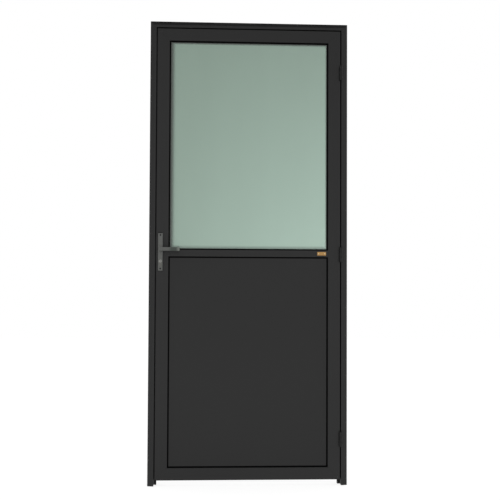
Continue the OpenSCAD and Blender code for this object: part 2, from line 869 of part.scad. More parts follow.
module cylinder_cam() color(brass) {
    leaf_bar(lock_x, key_z, -cam_half, cam_half, cam_hub_r);
    intersection() {
        leaf_bar(lock_x, key_z, -cam_half, cam_half, cam_reach);
        translate([lock_x - cam_half, -cam_w, key_z - 2 * cam_reach])
            cube([cam_w, 2 * cam_w, 2 * cam_reach]);
    }
}

// Handle plate in front of the leaf: a bar with round edges cut to round ends
module plate_blank() {
    difference() {
        intersection() {
            translate([lock_x, 0, plate_low])
                linear_extrude(height = plate_h)
                    polygon(rounded([[-plate_w / 2, front_y], [-plate_w / 2, plate_y],
                        [plate_w / 2, plate_y], [plate_w / 2, front_y]], [0, plate_r, plate_r, 0]));
            translate([lock_x - plate_w, 0, 0])
                rotate([90, 0, 90])
                    linear_extrude(height = 2 * plate_w)
                        polygon(rounded([[front_y, plate_low], [plate_y, plate_low],
                            [plate_y, plate_top], [front_y, plate_top]], [0, plate_r, plate_r, 0]));
        }
        leaf_bar(lock_x, lever_z, plate_y - over, front_y + over, collar_r + run_fit);
        cylinder_bar(plate_y - over, front_y + over, set_fit);
    }
}

module plate_front() color(grey) {
    difference() {
        plate_blank();
        plate_screw_set(set_fit);
    }
}

module plate_back() color(grey) {
    difference() {
        mirror([0, 1, 0])
            plate_blank();
        plate_screw_set(set_fit);
    }
}

module plate_screws() color(steel) plate_screw_set(0);

// Plan of the lever: neck out from the plate, a bend, then the arm with a round tip
function lever_plan() = rounded([
    [-neck_w / 2, -neck_start], [-neck_w / 2, -arm_out], [lever_len, -arm_out], [lever_len, -arm_in],
    [neck_w / 2, -arm_in], [neck_w / 2, -neck_start]],
    [0, bend_r, lever_t / 2.2, lever_t / 2.2, bend_in_r, 0]);

// Front view of the lever: round at the axis, softly round at the tip
function lever_front_view() = rounded([
    [-lever_h / 2, -lever_h / 2], [lever_len, -lever_h / 2], [lever_len, lever_h / 2], [-lever_h / 2, lever_h / 2]],
    [lever_h / 2.1, lever_h / 4, lever_h / 4, lever_h / 2.1]);

module lever() {
    difference() {
        union() {
            intersection() {
                translate([lock_x, front_y, lever_z - lever_h])
                    linear_extrude(height = 2 * lever_h)
                        polygon(lever_plan());
                translate([lock_x, front_y, lever_z])
                    rotate([90, 0, 0])
                        linear_extrude(height = 2 * arm_out)
                            polygon(lever_front_view());
            }
            leaf_bar(lock_x, lever_z, front_y - neck_start - over, front_y - slide_fit, collar_r);
        }
        translate([lock_x - spindle_w / 2 - set_fit, -spindle_half - set_fit, lever_z - spindle_w / 2 - set_fit])
            cube([spindle_w + 2 * set_fit, spindle_half, spindle_w + 2 * set_fit]);
    }
}

module lever_front() color(grey) lever();

module lever_back() color(grey)
    mirror([0, 1, 0])
        lever();

module spindle() color(steel)
    translate([lock_x - spindle_w / 2, -spindle_half, lever_z - spindle_w / 2])
        cube([spindle_w, 2 * spindle_half, spindle_w]);

module lock_hub() color(steel) {
    difference() {
        union() {
            leaf_bar(lock_x, lever_z, -hub_half, hub_half, hub_r);
            leaf_bar(lock_x, lever_z, -case_half, case_half, hub_journal_r);
        }
        translate([lock_x - spindle_w / 2 - set_fit, -case_t, lever_z - spindle_w / 2 - set_fit])
            cube([spindle_w + 2 * set_fit, 2 * case_t, spindle_w + 2 * set_fit]);
    }
}

// Latch: the slope faces the side that meets the strike first as the door closes
module latch_bolt() color(steel) {
    translate([0, 0, latch_z - latch_h / 2])
        linear_extrude(height = latch_h)
            polygon([[bolt_face_x, -latch_t / 2], [bolt_face_x + latch_slope, latch_t / 2],
                [bolt_face_x + latch_head, latch_t / 2], [bolt_face_x + latch_head, -latch_t / 2]]);
    translate([bolt_face_x + latch_head - over, -latch_t / 4, latch_z - latch_tail_h / 2])
        cube([bolt_back_x - bolt_face_x - latch_head + over, latch_t / 2, latch_tail_h]);
}

module dead_bolt() color(steel)
    translate([bolt_face_x, -bolt_t / 2, bolt_z - bolt_h / 2])
        cube([bolt_back_x - bolt_face_x, bolt_t, bolt_h]);

// Screws of all hinges on one side: 1 for the frame, -1 for the leaf
module hinge_screw_set(side, room) {
    for (z = [hinge_low_z, hinge_mid_z, hinge_top_z])
        for (end = [-1, 1])
            translate([axis_x + side * (leaf_gap / 2 - wing_t), axis_y + hinge_screw_y, z + end * hinge_screw_z])
                rotate([0, -side * 90, 0])
                    screw(wing_t + 14, room);
}

// Knuckle part with its neck between two heights, on the frame side (1) or the leaf side (-1)
module knuckle(side, z0, z1) {
    translate([0, 0, z0])
        cylinder(r = knuckle_r, h = z1 - z0);
    translate([side > 0 ? leaf_gap / 2 - wing_t : -leaf_gap / 2, 0, z0])
        cube([wing_t, neck_y + over, z1 - z0]);
}

module wing(side)
    translate([side > 0 ? leaf_gap / 2 - wing_t : -leaf_gap / 2, neck_y, -knuckle_half])
        cube([wing_t, wing_depth, knuckle_h]);

module hinge_frame(z) {
    difference() {
        translate([axis_x, axis_y, z])
            difference() {
                union() {
                    knuckle(1, frame_knuckle_z, knuckle_half);
                    knuckle(1, -knuckle_half, -frame_knuckle_z);
                    wing(1);
                }
                translate([0, 0, -knuckle_h])
                    cylinder(r = pin_r + run_fit, h = 2 * knuckle_h);
            }
        hinge_screw_set(1, set_fit);
    }
}

module hinge_leaf(z) {
    difference() {
        translate([axis_x, axis_y, z])
            difference() {
                union() {
                    knuckle(-1, -leaf_knuckle_half, leaf_knuckle_half);
                    wing(-1);
                }
                translate([0, 0, -knuckle_h])
                    cylinder(r = bush_r, h = 2 * knuckle_h);
            }
        hinge_screw_set(-1, set_fit);
    }
}

module hinge_pin(z)
    translate([axis_x, axis_y, z]) {
        translate([0, 0, -knuckle_half - over])
            cylinder(r = pin_r, h = knuckle_h + 2 * over);
        for (end = [0, 1])
            mirror([0, 0, end]) {
                translate([0, 0, knuckle_half])
                    cylinder(r = knuckle_r - edge_r, h = pin_cap_t / 2);
                translate([0, 0, knuckle_half + pin_cap_t / 2])
                    cylinder(r1 = knuckle_r - edge_r, r2 = knuckle_r - edge_r - pin_cap_t / 2, h = pin_cap_t / 2);
            }
    }

module hinge_frame_top() color(dark) hinge_frame(hinge_top_z);
module hinge_frame_mid() color(dark) hinge_frame(hinge_mid_z);
module hinge_frame_low() color(dark) hinge_frame(hinge_low_z);
module hinge_leaf_top() color(dark) hinge_leaf(hinge_top_z);
module hinge_leaf_mid() color(dark) hinge_leaf(hinge_mid_z);
module hinge_leaf_low() color(dark) hinge_leaf(hinge_low_z);
module hinge_pin_top() color(dark) hinge_pin(hinge_top_z);
module hinge_pin_mid() color(dark) hinge_pin(hinge_mid_z);
module hinge_pin_low() color(dark) hinge_pin(hinge_low_z);
module hinge_screws_frame() color(steel) hinge_screw_set(1, 0);
module hinge_screws_leaf() color(steel) hinge_screw_set(-1, 0);

// Flanged bushes in the leaf knuckles, two for each hinge
module hinge_bushes() color(white) {
    for (z = [hinge_low_z, hinge_mid_z, hinge_top_z])
        for (end = [0, 1])
            translate([axis_x, axis_y, z])
                mirror([0, 0, end])
                    difference() {
                        union() {
                            translate([0, 0, set_fit])
                                cylinder(r = bush_r, h = leaf_knuckle_half);
                            translate([0, 0, leaf_knuckle_half])
                                cylinder(r = knuckle_r - edge_r, h = bush_flange_t);
                        }
                        cylinder(r = pin_r + run_fit, h = knuckle_h);
                    }
}

jamb_lock();
jamb_hinge();
head();
frame_cleats();
seal_lock();
seal_hinge();
seal_head();
strike_plate();
strike_screws();
hinge_frame_top();
hinge_frame_mid();
hinge_frame_low();
hinge_pin_top();
hinge_pin_mid();
hinge_pin_low();
hinge_screws_frame();
stile_lock();
stile_hinge();
rail_top();
rail_mid();
rail_bottom();
leaf_cleats();
glass_pane();
lower_panel();
glass_gasket_front();
glass_gasket_back();
panel_gasket_front();
panel_gasket_back();
glass_bead_top();
glass_bead_low();
glass_bead_lock();
glass_bead_hinge();
panel_bead_top();
panel_bead_low();
panel_bead_lock();
panel_bead_hinge();
setting_blocks();
lock_case();
forend();
lock_screws();
cylinder_body();
plate_front();
plate_back();
plate_screws();
hinge_leaf_top();
hinge_leaf_mid();
hinge_leaf_low();
hinge_screws_leaf();
hinge_bushes();
lever_front();
lever_back();
spindle();
lock_hub();
latch_bolt();
dead_bolt();
plug_front();
cylinder_cam();
plug_back();
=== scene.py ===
"""Finishes, bare plate, floor, light and camera for a glazed door that stands in its own frame."""

import json
import logging
import math
from dataclasses import dataclass, field
from enum import Enum

import bpy
from mathutils import Matrix, Vector


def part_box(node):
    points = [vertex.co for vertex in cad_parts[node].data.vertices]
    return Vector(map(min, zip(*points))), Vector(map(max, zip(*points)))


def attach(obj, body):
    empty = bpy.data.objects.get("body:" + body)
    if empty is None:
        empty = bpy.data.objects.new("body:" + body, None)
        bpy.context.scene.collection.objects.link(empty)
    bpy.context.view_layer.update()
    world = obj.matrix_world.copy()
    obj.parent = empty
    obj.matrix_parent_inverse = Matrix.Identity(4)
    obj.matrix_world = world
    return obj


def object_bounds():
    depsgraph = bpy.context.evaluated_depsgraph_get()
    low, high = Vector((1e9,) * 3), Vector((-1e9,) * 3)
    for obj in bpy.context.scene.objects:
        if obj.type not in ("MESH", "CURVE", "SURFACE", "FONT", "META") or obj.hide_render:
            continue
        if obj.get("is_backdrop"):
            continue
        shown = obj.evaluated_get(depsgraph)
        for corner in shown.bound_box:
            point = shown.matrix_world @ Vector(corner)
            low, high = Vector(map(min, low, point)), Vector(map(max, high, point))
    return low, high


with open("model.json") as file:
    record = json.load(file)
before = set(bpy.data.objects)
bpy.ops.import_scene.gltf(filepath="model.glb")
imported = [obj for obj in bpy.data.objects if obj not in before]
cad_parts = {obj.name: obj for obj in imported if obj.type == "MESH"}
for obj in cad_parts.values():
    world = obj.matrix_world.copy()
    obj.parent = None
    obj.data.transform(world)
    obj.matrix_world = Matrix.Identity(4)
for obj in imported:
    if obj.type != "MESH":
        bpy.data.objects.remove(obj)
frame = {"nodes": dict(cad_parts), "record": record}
CAD_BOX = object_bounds()
MM_IN_METRE = 1000.0
SENSOR_MM = 36.0
SHARP = math.radians(35)
FACES_FRONT = -0.5
WHITE = (1.0, 1.0, 1.0, 1.0)

# levels of detail of a noise: a soft drift, a cloud, a fine grain
SOFT, CLOUDED, FINE = 2.0, 3.0, 4.0

log = logging.getLogger("glazed_door")

Colour = tuple[float, float, float, float]
Point = tuple[float, float, float]
Span = tuple[float, float]


class Body(Enum):
    """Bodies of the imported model."""

    FRAME = "frame"
    LEAF = "leaf"
    HANDLE = "handle"
    LATCH = "latch"
    BOLT = "bolt"
    KEY_FRONT = "key_front"
    KEY_BACK = "key_back"


class Slot(Enum):
    """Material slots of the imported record."""

    COATING = "black_coating"
    HINGE = "hinge_coating"
    PANEL = "panel_sheet"
    GLASS = "green_glass"
    RUBBER = "black_rubber"
    HANDLE = "handle_metal"
    STEEL = "steel"
    ALUMINIUM = "bare_aluminium"
    CYLINDER = "brass"
    NYLON = "nylon"


class Grain(Enum):
    """Direction in which a metal was brushed, as the stretch of its lines along X, Y and Z."""

    ALONG_X = (0.04, 1.0, 1.0)
    ALONG_Z = (1.0, 1.0, 0.04)
    NONE = (1.0, 1.0, 1.0)


def linear(code: str) -> Colour:
    """Turns an sRGB hex code into linear light.

    Args:
        code: Six hex digits after a hash.

    Returns:
        Linear red, green and blue with an alpha of 1.
    """
    parts = [int(code[i : i + 2], 16) / 255 for i in (1, 3, 5)]
    red, green, blue = (c / 12.92 if c <= 0.04045 else ((c + 0.055) / 1.055) ** 2.4 for c in parts)
    return red, green, blue, 1.0


def per_mm(size: float) -> float:
    """Noise scale whose marks are about this many millimetres across."""
    return MM_IN_METRE / size


def add(
    tree: bpy.types.NodeTree, kind: str, inputs: dict | None = None, **settings: object
) -> bpy.types.Node:
    """Adds a node to a tree with its settings and links.

    Args:
        tree: Node tree of a material or world.
        kind: Type of the node without its prefix.
        inputs: Input name or number, with a value or the output to link.
        settings: Attributes to set on the node.

    Returns:
        The new node.
    """
    node = tree.nodes.new("ShaderNode" + kind)
    for name, value in settings.items():
        setattr(node, name, value)
    for key, value in (inputs or {}).items():
        if isinstance(value, bpy.types.NodeSocket):
            tree.links.new(value, node.inputs[key])
        else:
            node.inputs[key].default_value = value
    return node


def fresh(name: str) -> tuple[bpy.types.Material, bpy.types.NodeTree]:
    """Makes an empty node material.

    Args:
        name: Name of the material.

    Returns:
        The material and its cleared node tree.
    """
    material = bpy.data.materials.new(name)
    material.use_nodes = True
    material.node_tree.nodes.clear()
    return material, material.node_tree


def pick_front(piece: bpy.types.Object) -> None:
    """Selects the faces of a piece that look to the front, and nothing else of it.

    Args:
        piece: The active mesh object, in object mode.
    """
    for part in (*piece.data.vertices, *piece.data.edges):
        part.select = False
    for face in piece.data.polygons:
        face.select = face.normal.y < FACES_FRONT


def shade(piece: bpy.types.Object) -> None:
    """Smooths a piece's shading up to a sharp angle.

    Args:
        piece: A mesh object, in object mode.
    """
    bpy.ops.object.select_all(action="DESELECT")
    piece.select_set(True)
    bpy.context.view_layer.objects.active = piece
    bpy.ops.object.shade_smooth_by_angle(angle=SHARP)


def round_edges(piece: bpy.types.Object, width: float, segments: int) -> None:
    """Rounds the sharp edges of a piece and smooths its shading.

    Args:
        piece: The active mesh object.
        width: Width of the rounding in metres.
        segments: Steps of the rounding.
    """
    bevel = piece.modifiers.new("edge", "BEVEL")
    bevel.width = width
    bevel.segments = segments
    bevel.limit_method = "ANGLE"
    bevel.angle_limit = SHARP
    bpy.ops.object.modifier_apply(modifier=bevel.name)
    shade(piece)


@dataclass(frozen=True)
class SatinCoat:
    """Powder coating or paint on metal or sheet, with the fine orange peel of a sprayed film."""

    name: str
    dark: str
    light: str
    roughness: float = 0.42
    spread: float = 0.05
    specular: float = 0.3
    peel_mm: float = 1.6
    peel_depth_mm: float = 0.04
    peel_strength: float = 0.8
    speck_mm: float = 6.0
    speck_share: float = 0.35
    speck_roughness: float = 0.7
    cloud_mm: float = 260.0
    gloss_span: Span = (0.3, 0.7)

    def material(self) -> bpy.types.Material:
        """Builds the node material.

        Returns:
            A film whose peel breaks up the gloss and whose tone drifts slightly over a hand's width.
        """
        material, tree = fresh(self.name)
        place = add(tree, "TexCoord").outputs["Object"]
        peel = add(tree, "TexNoise", {"Vector": place, "Scale": per_mm(self.peel_mm), "Detail": SOFT})
        cloud = add(tree, "TexNoise", {"Vector": place, "Scale": per_mm(self.cloud_mm), "Detail": CLOUDED})
        speck = add(
            tree, "TexNoise",
            {"Vector": place, "Scale": per_mm(self.speck_mm),
             "Detail": FINE, "Roughness": self.speck_roughness},
        )
        blend = add(
            tree, "Mix", {"Factor": self.speck_share, "A": cloud.outputs["Fac"], "B": speck.outputs["Fac"]},
        )
        tone = add(
            tree, "Mix",
            {"Factor": blend.outputs["Result"], "A": linear(self.dark), "B": linear(self.light)},
            data_type="RGBA",
        )
        gloss = add(
            tree, "MapRange",
            {"Value": blend.outputs["Result"],
             "From Min": self.gloss_span[0], "From Max": self.gloss_span[1],
             "To Min": self.roughness - self.spread, "To Max": self.roughness + self.spread},
        )
        bump = add(
            tree, "Bump",
            {"Height": peel.outputs["Fac"], "Strength": self.peel_strength,
             "Distance": self.peel_depth_mm / MM_IN_METRE},
        )
        shader = add(
            tree, "BsdfPrincipled",
            {"Base Color": tone.outputs["Result"], "Roughness": gloss.outputs["Result"],
             "Specular IOR Level": self.specular, "Normal": bump.outputs["Normal"]},
        )
        add(tree, "OutputMaterial", {"Surface": shader.outputs["BSDF"]})
        return material


@dataclass(frozen=True)
class BrushedMetal:
    """Satin metal: fine lines along the brushing direction break up the gloss."""

    name: str
    dark: str
    light: str
    roughness: float = 0.35
    spread: float = 0.07
    grain: Grain = Grain.NONE
    line_mm: float = 0.7
    line_depth_mm: float = 0.006
    line_strength: float = 0.4
    cloud_mm: float = 18.0
    cloud_share: float = 0.4
    gloss_span: Span = (0.25, 0.75)

    def material(self) -> bpy.types.Material:
        """Builds the node material.

        Returns:
            A metal whose tone and gloss change from line to line, the lines drawn coarse enough to show.
        """
        material, tree = fresh(self.name)
        place = add(tree, "TexCoord").outputs["Object"]
        turned = add(tree, "Mapping", {"Vector": place, "Scale": self.grain.value})
        lines = add(
            tree, "TexNoise",
            {"Vector": turned.outputs["Vector"], "Scale": per_mm(self.line_mm), "Detail": CLOUDED},
        )
        cloud = add(tree, "TexNoise", {"Vector": place, "Scale": per_mm(self.cloud_mm), "Detail": SOFT})
        mixed = add(
            tree, "Mix", {"Factor": self.cloud_share, "A": lines.outputs["Fac"], "B": cloud.outputs["Fac"]},
        )
        tone = add(
            tree, "Mix",
            {"Factor": mixed.outputs["Result"], "A": linear(self.dark), "B": linear(self.light)},
            data_type="RGBA",
        )
        gloss = add(
            tree, "MapRange",
            {"Value": lines.outputs["Fac"],
             "From Min": self.gloss_span[0], "From Max": self.gloss_span[1],
             "To Min": self.roughness - self.spread, "To Max": self.roughness + self.spread},
        )
        bump = add(
            tree, "Bump",
            {"Height": lines.outputs["Fac"], "Strength": self.line_strength,
             "Distance": self.line_depth_mm / MM_IN_METRE},
        )
        shader = add(
            tree, "BsdfPrincipled",
            {"Base Color": self.add_painted_light(tree, place, tone.outputs["Result"]), "Metallic": 1.0,
             "Roughness": gloss.outputs["Result"], "Normal": bump.outputs["Normal"]},
        )
        add(tree, "OutputMaterial", {"Surface": shader.outputs["BSDF"]})
        return material

    def add_painted_light(
        self, tree: bpy.types.NodeTree, place: bpy.types.NodeSocket, tone: bpy.types.NodeSocket
    ) -> bpy.types.NodeSocket:
        """Leaves the metal's tone as it is: a plain brushed metal gets no painted light."""
        return tone


@dataclass(frozen=True)
class LeverMetal(BrushedMetal):
    """The handle's metal on a lever: darkened along its arm by a painted reflection of the green glass, and
    brightened near its outer end by a painted highlight.
    """

    # the two colours below are a painted reflection of the green glass on the arm and a painted highlight
    # near its outer end
    painted_reflection: str = "#4a4f4b"
    painted_highlight: str = "#70746e"
    tip_at: float = 0.0
    reflection_from_mm: float = 52.0
    reflection_full_mm: float = 36.0
    highlight_from_mm: float = 19.0
    highlight_full_mm: float = 5.0

    def add_painted_light(
        self, tree: bpy.types.NodeTree, place: bpy.types.NodeSocket, tone: bpy.types.NodeSocket
    ) -> bpy.types.NodeSocket:
        """Lays a painted reflection of the glass over the arm and a painted highlight near its outer end
        onto the metal's tone.

        Args:
            tree: Node tree to add to.
            place: Object coordinates.
            tone: Colour of the unworn metal.

        Returns:
            The colour with its painted reflection and highlight.
        """
        along = add(tree, "SeparateXYZ", {"Vector": place}).outputs["X"]
        # painted reflection over the outer arm, then painted highlight near its end
        zones = (
            (self.painted_reflection, self.reflection_from_mm, self.reflection_full_mm),
            (self.painted_highlight, self.highlight_from_mm, self.highlight_full_mm),
        )
        for colour, start, full in zones:
            share = add(
                tree, "MapRange",
                {"Value": along, "From Min": self.tip_at - start / MM_IN_METRE,
                 "From Max": self.tip_at - full / MM_IN_METRE},
                interpolation_type="SMOOTHSTEP",
            )
            tone = add(
                tree, "Mix",
                {"Factor": share.outputs["Result"], "A": tone, "B": linear(colour)},
                data_type="RGBA",
            ).outputs["Result"]
        return tone


@dataclass(frozen=True)
class Moulded:
    """Rubber or nylon as it leaves the die: matt, with a fine grain and hardly any lustre."""

    name: str
    dark: str
    light: str
    roughness: float = 0.7
    spread: float = 0.1
    specular: float = 0.25
    grain_mm: float = 0.9
    grain_depth_mm: float = 0.03
    grain_strength: float = 0.3
    cloud_mm: float = 45.0

    def material(self) -> bpy.types.Material:
        """Builds the node material.

        Returns:
            A matt material with a fine grain.
        """
        material, tree = fresh(self.name)
        place = add(tree, "TexCoord").outputs["Object"]
        grain = add(tree, "TexNoise", {"Vector": place, "Scale": per_mm(self.grain_mm), "Detail": FINE})
        cloud = add(tree, "TexNoise", {"Vector": place, "Scale": per_mm(self.cloud_mm), "Detail": SOFT})
        tone = add(
            tree, "Mix",
            {"Factor": cloud.outputs["Fac"], "A": linear(self.dark), "B": linear(self.light)},
            data_type="RGBA",
        )
        gloss = add(
            tree, "MapRange",
            {"Value": grain.outputs["Fac"],
             "To Min": self.roughness - self.spread, "To Max": self.roughness + self.spread},
        )
        bump = add(
            tree, "Bump",
            {"Height": grain.outputs["Fac"], "Strength": self.grain_strength,
             "Distance": self.grain_depth_mm / MM_IN_METRE},
        )
        shader = add(
            tree, "BsdfPrincipled",
            {"Base Color": tone.outputs["Result"], "Roughness": gloss.outputs["Result"],
             "Specular IOR Level": self.specular, "Normal": bump.outputs["Normal"]},
        )
        add(tree, "OutputMaterial", {"Surface": shader.outputs["BSDF"]})
        return material


@dataclass(frozen=True)
class TintedGlass:
    """Green body-tinted float glass with a long faint draw, darkened towards the upper lock corner by
    painted light and along its edges by painted shade.
    """

    name: str
    # the first two colours are the painted shaded and painted lit ends of the green, the third the painted
    # shade along the edges
    painted_shade_tint: str
    pale: str
    film: str
    transmission: float = 0.55
    roughness: float = 0.06
    ior: float = 1.5
    across_share: float = 0.19
    down_share: float = 0.34
    corner_share: float = 0.48
    draw_mm: float = 160.0
    draw_stretch: float = 0.2
    draw_depth_mm: float = 0.2
    draw_strength: float = 0.05
    draw_share: float = 0.12
    gasket_mm: float = 12.1
    # width and strength of each painted shade band inside the gasket
    lock_side_shade_mm: float = 25.0
    hinge_side_shade_mm: float = 7.5
    head_shade_mm: float = 11.5
    foot_shade_mm: float = 17.5
    lock_side_shade_strength: float = 0.92
    foot_shade_strength: float = 0.52

    def material(self, low: Vector, high: Vector) -> bpy.types.Material:
        """Builds the node material.

        Args:
            low: Lowest corner of the front gasket.
            high: Highest corner of the front gasket.

        Returns:
            A glass whose green is darker at the upper lock side and paler at the lower hinge side, by
            painted light.
        """
        material, tree = fresh(self.name)
        place = add(tree, "TexCoord").outputs["Object"]
        axes = add(tree, "SeparateXYZ", {"Vector": place})
        drawn = add(tree, "Mapping", {"Vector": place, "Scale": (1.0, 1.0, self.draw_stretch)})
        wave = add(
            tree, "TexNoise",
            {"Vector": drawn.outputs["Vector"], "Scale": per_mm(self.draw_mm), "Detail": SOFT},
        )
        # mostly the painted light gradient, with the real draw of the glass mixed in
        painted_light_and_draw = add(
            tree, "Mix",
            {"Factor": self.draw_share, "A": self.painted_light_slope(tree, axes, low, high), "B": wave.outputs["Fac"]},
        )
        tint_with_painted_light = add(
            tree, "Mix",
            {"Factor": painted_light_and_draw.outputs["Result"], "A": linear(self.painted_shade_tint), "B": linear(self.pale)},
            data_type="RGBA",
        )
        # painted shade laid over the glass along its edges
        shown = add(
            tree, "Mix",
            {"Factor": self.painted_edge_shade(tree, axes, low, high),
             "A": tint_with_painted_light.outputs["Result"], "B": linear(self.film)},
            data_type="RGBA",
        )
        bump = add(
            tree, "Bump",
            {"Height": wave.outputs["Fac"], "Strength": self.draw_strength,
             "Distance": self.draw_depth_mm / MM_IN_METRE},
        )
        shader = add(
            tree, "BsdfPrincipled",
            {"Base Color": shown.outputs["Result"], "Roughness": self.roughness, "IOR": self.ior,
             "Transmission Weight": self.transmission, "Normal": bump.outputs["Normal"]},
        )
        add(tree, "OutputMaterial", {"Surface": shader.outputs["BSDF"]})
        return material

    def painted_light_slope(
        self, tree: bpy.types.NodeTree, axes: bpy.types.Node, low: Vector, high: Vector
    ) -> bpy.types.NodeSocket:
        """Grades the painted light across the pane from its upper lock corner to its lower hinge corner.

        Args:
            tree: Node tree to add to.
            axes: Node that gives X and Z.
            low: Lowest corner of the front gasket.
            high: Highest corner of the front gasket.

        Returns:
            An output that is 0 at the upper lock corner and about 1 at the lower hinge corner.
        """
        across = add(tree, "MapRange", {"Value": axes.outputs["X"], "From Min": low.x, "From Max": high.x})
        down = add(tree, "MapRange", {"Value": axes.outputs["Z"], "From Min": high.z, "From Max": low.z})
        lean = add(
            tree, "Math",
            {0: across.outputs["Result"], 1: self.corner_share, 2: self.down_share},
            operation="MULTIPLY_ADD",
        )
        level = add(tree, "Math", {0: across.outputs["Result"], 1: self.across_share}, operation="MULTIPLY")
        both = add(
            tree, "Math",
            {0: lean.outputs["Value"], 1: down.outputs["Result"], 2: level.outputs["Value"]},
            operation="MULTIPLY_ADD",
        )
        return both.outputs["Value"]

    def painted_edge_shade(
        self, tree: bpy.types.NodeTree, axes: bpy.types.Node, low: Vector, high: Vector
    ) -> bpy.types.NodeSocket:
        """Gathers painted shade along the four edges of the pane that show inside the gasket.

        Args:
            tree: Node tree to add to.
            axes: Node that gives X and Z.
            low: Lowest corner of the front gasket.
            high: Highest corner of the front gasket.

        Returns:
            An output that is strongest at the gasket and 0 on the open pane.
        """
        inset = self.gasket_mm / MM_IN_METRE
        bands = (
            ("X", low.x + inset, self.lock_side_shade_mm, self.lock_side_shade_strength),
            ("X", high.x - inset, -self.hinge_side_shade_mm, 1.0),
            ("Z", high.z - inset, -self.head_shade_mm, 1.0),
            ("Z", low.z + inset, self.foot_shade_mm, self.foot_shade_strength),
        )
        painted_edge_shade = 0.0
        for axis, edge, reach_mm, strength in bands:
            band = add(
                tree, "MapRange",
                {"Value": axes.outputs[axis], "From Min": edge, "From Max": edge + reach_mm / MM_IN_METRE,
                 "To Min": strength, "To Max": 0.0},
                interpolation_type="SMOOTHSTEP",
            )
            most = add(tree, "Math", {0: painted_edge_shade, 1: band.outputs["Result"]}, operation="MAXIMUM")
            painted_edge_shade = most.outputs["Value"]
        return painted_edge_shade


@dataclass
class Palette:
    """All finishes of the door: one for each slot of the record, and those that single pieces wear."""

    by_slot: dict[Slot, bpy.types.Material] = field(default_factory=dict)
    by_node: dict[str, bpy.types.Material] = field(default_factory=dict)

    def prepare(self) -> None:
        """Builds each finish once."""
        self.coats()
        self.metals()
        self.single_pieces()
        # green float glass: half clear, its green darkened towards the upper lock corner by painted light
        # and along its edges by painted shade
        glass = TintedGlass("green_tinted_float_glass", "#879b8e", "#b4ccbf", "#2a2d2a")
        self.by_slot[Slot.GLASS] = glass.material(*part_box("glass_gasket_front"))

    def coats(self) -> None:
        """Builds the coatings, the rubber and the nylon."""
        made = {
            # satin black powder coating on extruded aluminium: a dark film with a broad, soft gloss
            Slot.COATING: SatinCoat("powder_coated_aluminium", "#101010", "#1e1e1e"),
            # the same coating on the hinges, a shade deeper where it gathers on the knuckles
            Slot.HINGE: SatinCoat(
                "powder_coated_hinge", "#0f0f0f", "#151515", roughness=0.4, specular=0.22,
            ),
            # painted composite sheet: flatter than the profiles, with a wider drift of tone
            Slot.PANEL: SatinCoat(
                "painted_composite_sheet", "#101010", "#1d1d1d",
                roughness=0.46, peel_mm=2.2, cloud_mm=420.0,
            ),
            # extruded gasket rubber: matt black, it swallows most light
            Slot.RUBBER: Moulded("extruded_rubber", "#030303", "#070707", roughness=0.8, specular=0.03),
            # black nylon of the bushes and blocks: a little smoother than rubber
            Slot.NYLON: Moulded("black_nylon", "#0c0c0c", "#141414", roughness=0.55, specular=0.2),
        }
        self.by_slot.update({slot: finish.material() for slot, finish in made.items()})

    def metals(self) -> None:
        """Builds the bare and plated metals."""
        made = {
            # satin grey metal of the handle, brushed along the plate: soft upright streaks
            Slot.HANDLE: BrushedMetal(
                "satin_grey_metal", "#575856", "#6a6b69", roughness=0.4, grain=Grain.ALONG_Z,
            ),
            # zinc-plated steel: pale and slightly clouded
            Slot.STEEL: BrushedMetal("zinc_plated_steel", "#8f9194", "#b4b6b8", roughness=0.34),
            # aluminium as extruded: pale, with draw lines along the profile
            Slot.ALUMINIUM: BrushedMetal(
                "mill_finish_aluminium", "#a9aaac", "#c6c7c8", roughness=0.42, grain=Grain.ALONG_X,
            ),
            # nickel-plated brass of the key cylinder: grey with a brighter gloss than the handle
            Slot.CYLINDER: BrushedMetal("nickel_plated_brass", "#555552", "#70706c", roughness=0.26),
        }
        self.by_slot.update({slot: finish.material() for slot, finish in made.items()})

    def single_pieces(self) -> None:
        """Builds the finishes that single pieces wear instead of their slot's."""
        # black-passivated steel of the edge plates and small screws: dark, with a faint dull gloss
        dark_steel = BrushedMetal(
            "black_passivated_steel", "#262627", "#343435", roughness=0.48,
        ).material()
        # the handle's metal on the levers, brushed lengthways, with a painted reflection and a painted
        # highlight along the arm
        lever = LeverMetal(
            "satin_grey_lever", "#535452", "#666765", roughness=0.38, grain=Grain.ALONG_X,
            tip_at=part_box("lever_front")[1].x,
        ).material()
        # turned face of the key plugs: lighter than the cylinder round them, as turned metal and as a
        # painted highlight
        plug = BrushedMetal("turned_nickel_plug_with_highlight", "#747471", "#92928f", roughness=0.24).material()
        for node in ("forend", "strike_plate", "lock_screws", "strike_screws", "plate_screws"):
            self.by_node[node] = dark_steel
        for node in ("lever_front", "lever_back"):
            self.by_node[node] = lever
        for node in ("plug_front", "plug_back"):
            self.by_node[node] = plug


@dataclass
class Assembly:
    """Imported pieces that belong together: they keep their shape and get their finishes."""

    bodies: tuple[Body, ...] = ()

    def build(self) -> None:
        """Adds no piece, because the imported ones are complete."""

    def dress(self, palette: Palette) -> None:
        """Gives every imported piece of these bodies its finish.

        Args:
            palette: The finishes of the door.
        """
        slots = {part["node"]: Slot(part["material_slot"]) for part in frame["record"]["subparts"]}
        for body in self.bodies:
            for node in frame["record"]["behaviour"]["bodies"][body.value]:
                piece = frame["nodes"][node]
                finish = palette.by_node.get(node, palette.by_slot[slots[node]])
                if not piece.material_slots:
                    piece.data.materials.append(finish)
                for place in piece.material_slots:
                    place.material = finish
                log.info("%s on %s: %s", node, body.value, finish.name)


@dataclass
class DoorFrame(Assembly):
    """Jambs, head, seals, strike plate and the fixed halves of the hinges."""

    bodies: tuple[Body, ...] = (Body.FRAME,)


@dataclass
class HandleSet(Assembly):
    """Both levers with the spindle and the hub that they turn."""

    bodies: tuple[Body, ...] = (Body.HANDLE,)


@dataclass
class LockBolts(Assembly):
    """Latch, dead bolt and the two key plugs."""

    bodies: tuple[Body, ...] = (Body.LATCH, Body.BOLT, Body.KEY_FRONT, Body.KEY_BACK)


